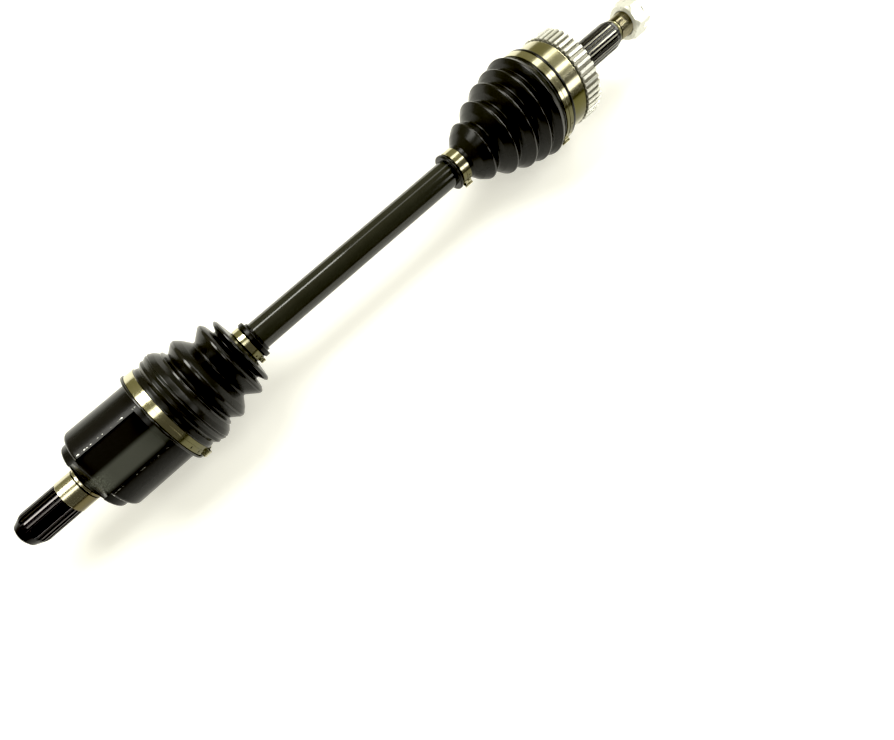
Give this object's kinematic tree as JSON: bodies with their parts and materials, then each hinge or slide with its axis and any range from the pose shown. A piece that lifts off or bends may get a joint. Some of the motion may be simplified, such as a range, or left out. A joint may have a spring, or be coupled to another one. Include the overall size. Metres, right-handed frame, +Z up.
{
  "type": "cv axle",
  "caption": "Front wheel drive half shaft with a ball joint and threaded hub stub outboard, a tripod plunging joint inboard, pleated boots and a tone ring.",
  "frame": {"origin": "middle of the overall box, on the axle's centre line at rest", "axes": "+X along the axle from the gearbox stub to the hub stub, +Z up, as the axle lies on a table"},
  "size_m": [0.697, 0.0978, 0.0978],
  "materials": {
    "black_paint": "gloss black paint",
    "housing_paint": "semi-gloss black paint, bare steel on the splined stub",
    "boot_rubber": "satin moulded black rubber",
    "band_steel": "bright rolled stainless band",
    "ground_steel": "turned and ground, dark oiled splines",
    "zinc_plate": "bright zinc plate",
    "bearing_steel": "ground, greased",
    "ball_steel": "polished",
    "spring_steel": "oiled black spring steel"
  },
  "bodies": {
    "axle_bar": {"axle_bar": "black_paint", "outboard_inner_race": "bearing_steel", "outboard_race_circlip": "spring_steel", "outboard_small_clamp": "band_steel", "tripod_spider": "bearing_steel", "spider_outer_circlip": "spring_steel", "spider_inner_circlip": "spring_steel", "inboard_small_clamp": "band_steel", "roller_washer_a": "spring_steel", "roller_washer_b": "spring_steel", "roller_washer_c": "spring_steel", "roller_clip_a": "spring_steel", "roller_clip_b": "spring_steel", "roller_clip_c": "spring_steel"},
    "outboard_cage": {"outboard_cage": "bearing_steel", "outboard_ball_1": "ball_steel", "outboard_ball_2": "ball_steel", "outboard_ball_3": "ball_steel", "outboard_ball_4": "ball_steel", "outboard_ball_5": "ball_steel", "outboard_ball_6": "ball_steel"},
    "outboard_joint": {"outboard_housing": "ground_steel", "abs_tone_ring": "zinc_plate", "outboard_large_clamp": "band_steel", "outboard_boot": "boot_rubber"},
    "hub_nut": {"hub_nut": "zinc_plate"},
    "inboard_boot": {"inboard_boot": "boot_rubber"},
    "inboard_joint": {"inboard_housing": "housing_paint", "inboard_large_clamp": "band_steel"},
    "roller_a": {"tripod_roller_a": "bearing_steel"},
    "needles_a": {"roller_needles_a": "ball_steel"},
    "roller_b": {"tripod_roller_b": "bearing_steel"},
    "needles_b": {"roller_needles_b": "ball_steel"},
    "roller_c": {"tripod_roller_c": "bearing_steel"},
    "needles_c": {"roller_needles_c": "ball_steel"}
  },
  "joints": [
    {"name": "outboard_cage_tilt", "type": "hinge", "parent": "axle_bar", "child": "outboard_cage", "pos_m": [0.2155, 0, 0], "axis": [0, 0, 1], "range_deg": [-22.5, 22.5]},
    {"name": "outboard_joint_tilt", "type": "hinge", "parent": "outboard_cage", "child": "outboard_joint", "pos_m": [0.2155, 0, 0], "axis": [0, 0, 1], "range_deg": [-22.5, 22.5], "deforming": ["outboard_boot"]},
    {"name": "hub_nut_travel", "type": "slide", "parent": "outboard_joint", "child": "hub_nut", "axis": [1, 0, 0], "range_m": [-0.011, 0.03]},
    {"name": "inboard_joint_tilt", "type": "hinge", "parent": "axle_bar", "child": "inboard_boot", "pos_m": [-0.2335, 0, 0], "axis": [0, 1, 0], "range_deg": [-20, 20], "deforming": ["inboard_boot"]},
    {"name": "inboard_plunge", "type": "slide", "parent": "inboard_boot", "child": "inboard_joint", "axis": [1, 0, 0], "range_m": [-0.013, 0.013], "deforming": ["inboard_boot"]},
    {"name": "roller_a_spin", "type": "hinge", "parent": "axle_bar", "child": "roller_a", "pos_m": [-0.2335, 0, 0], "axis": [0, -0.9986, 0.0523], "continuous": true},
    {"name": "needles_a_orbit", "type": "hinge", "parent": "axle_bar", "child": "needles_a", "pos_m": [-0.2335, 0, 0], "axis": [0, -0.9986, 0.0523], "continuous": true},
    {"name": "roller_b_spin", "type": "hinge", "parent": "axle_bar", "child": "roller_b", "pos_m": [-0.2335, 0, 0], "axis": [0, 0.454, -0.891], "continuous": true},
    {"name": "needles_b_orbit", "type": "hinge", "parent": "axle_bar", "child": "needles_b", "pos_m": [-0.2335, 0, 0], "axis": [0, 0.454, -0.891], "continuous": true},
    {"name": "roller_c_spin", "type": "hinge", "parent": "axle_bar", "child": "roller_c", "pos_m": [-0.2335, 0, 0], "axis": [0, 0.5446, 0.8387], "continuous": true},
    {"name": "needles_c_orbit", "type": "hinge", "parent": "axle_bar", "child": "needles_c", "pos_m": [-0.2335, 0, 0], "axis": [0, 0.5446, 0.8387], "continuous": true}
  ],
  "couplings": [
    {"joint": "outboard_joint_tilt", "follows": "outboard_cage_tilt", "ratio": 1},
    {"joint": "needles_a_orbit", "follows": "roller_a_spin", "ratio": 0.5594},
    {"joint": "needles_b_orbit", "follows": "roller_b_spin", "ratio": 0.5594},
    {"joint": "needles_c_orbit", "follows": "roller_c_spin", "ratio": 0.5594}
  ]
}
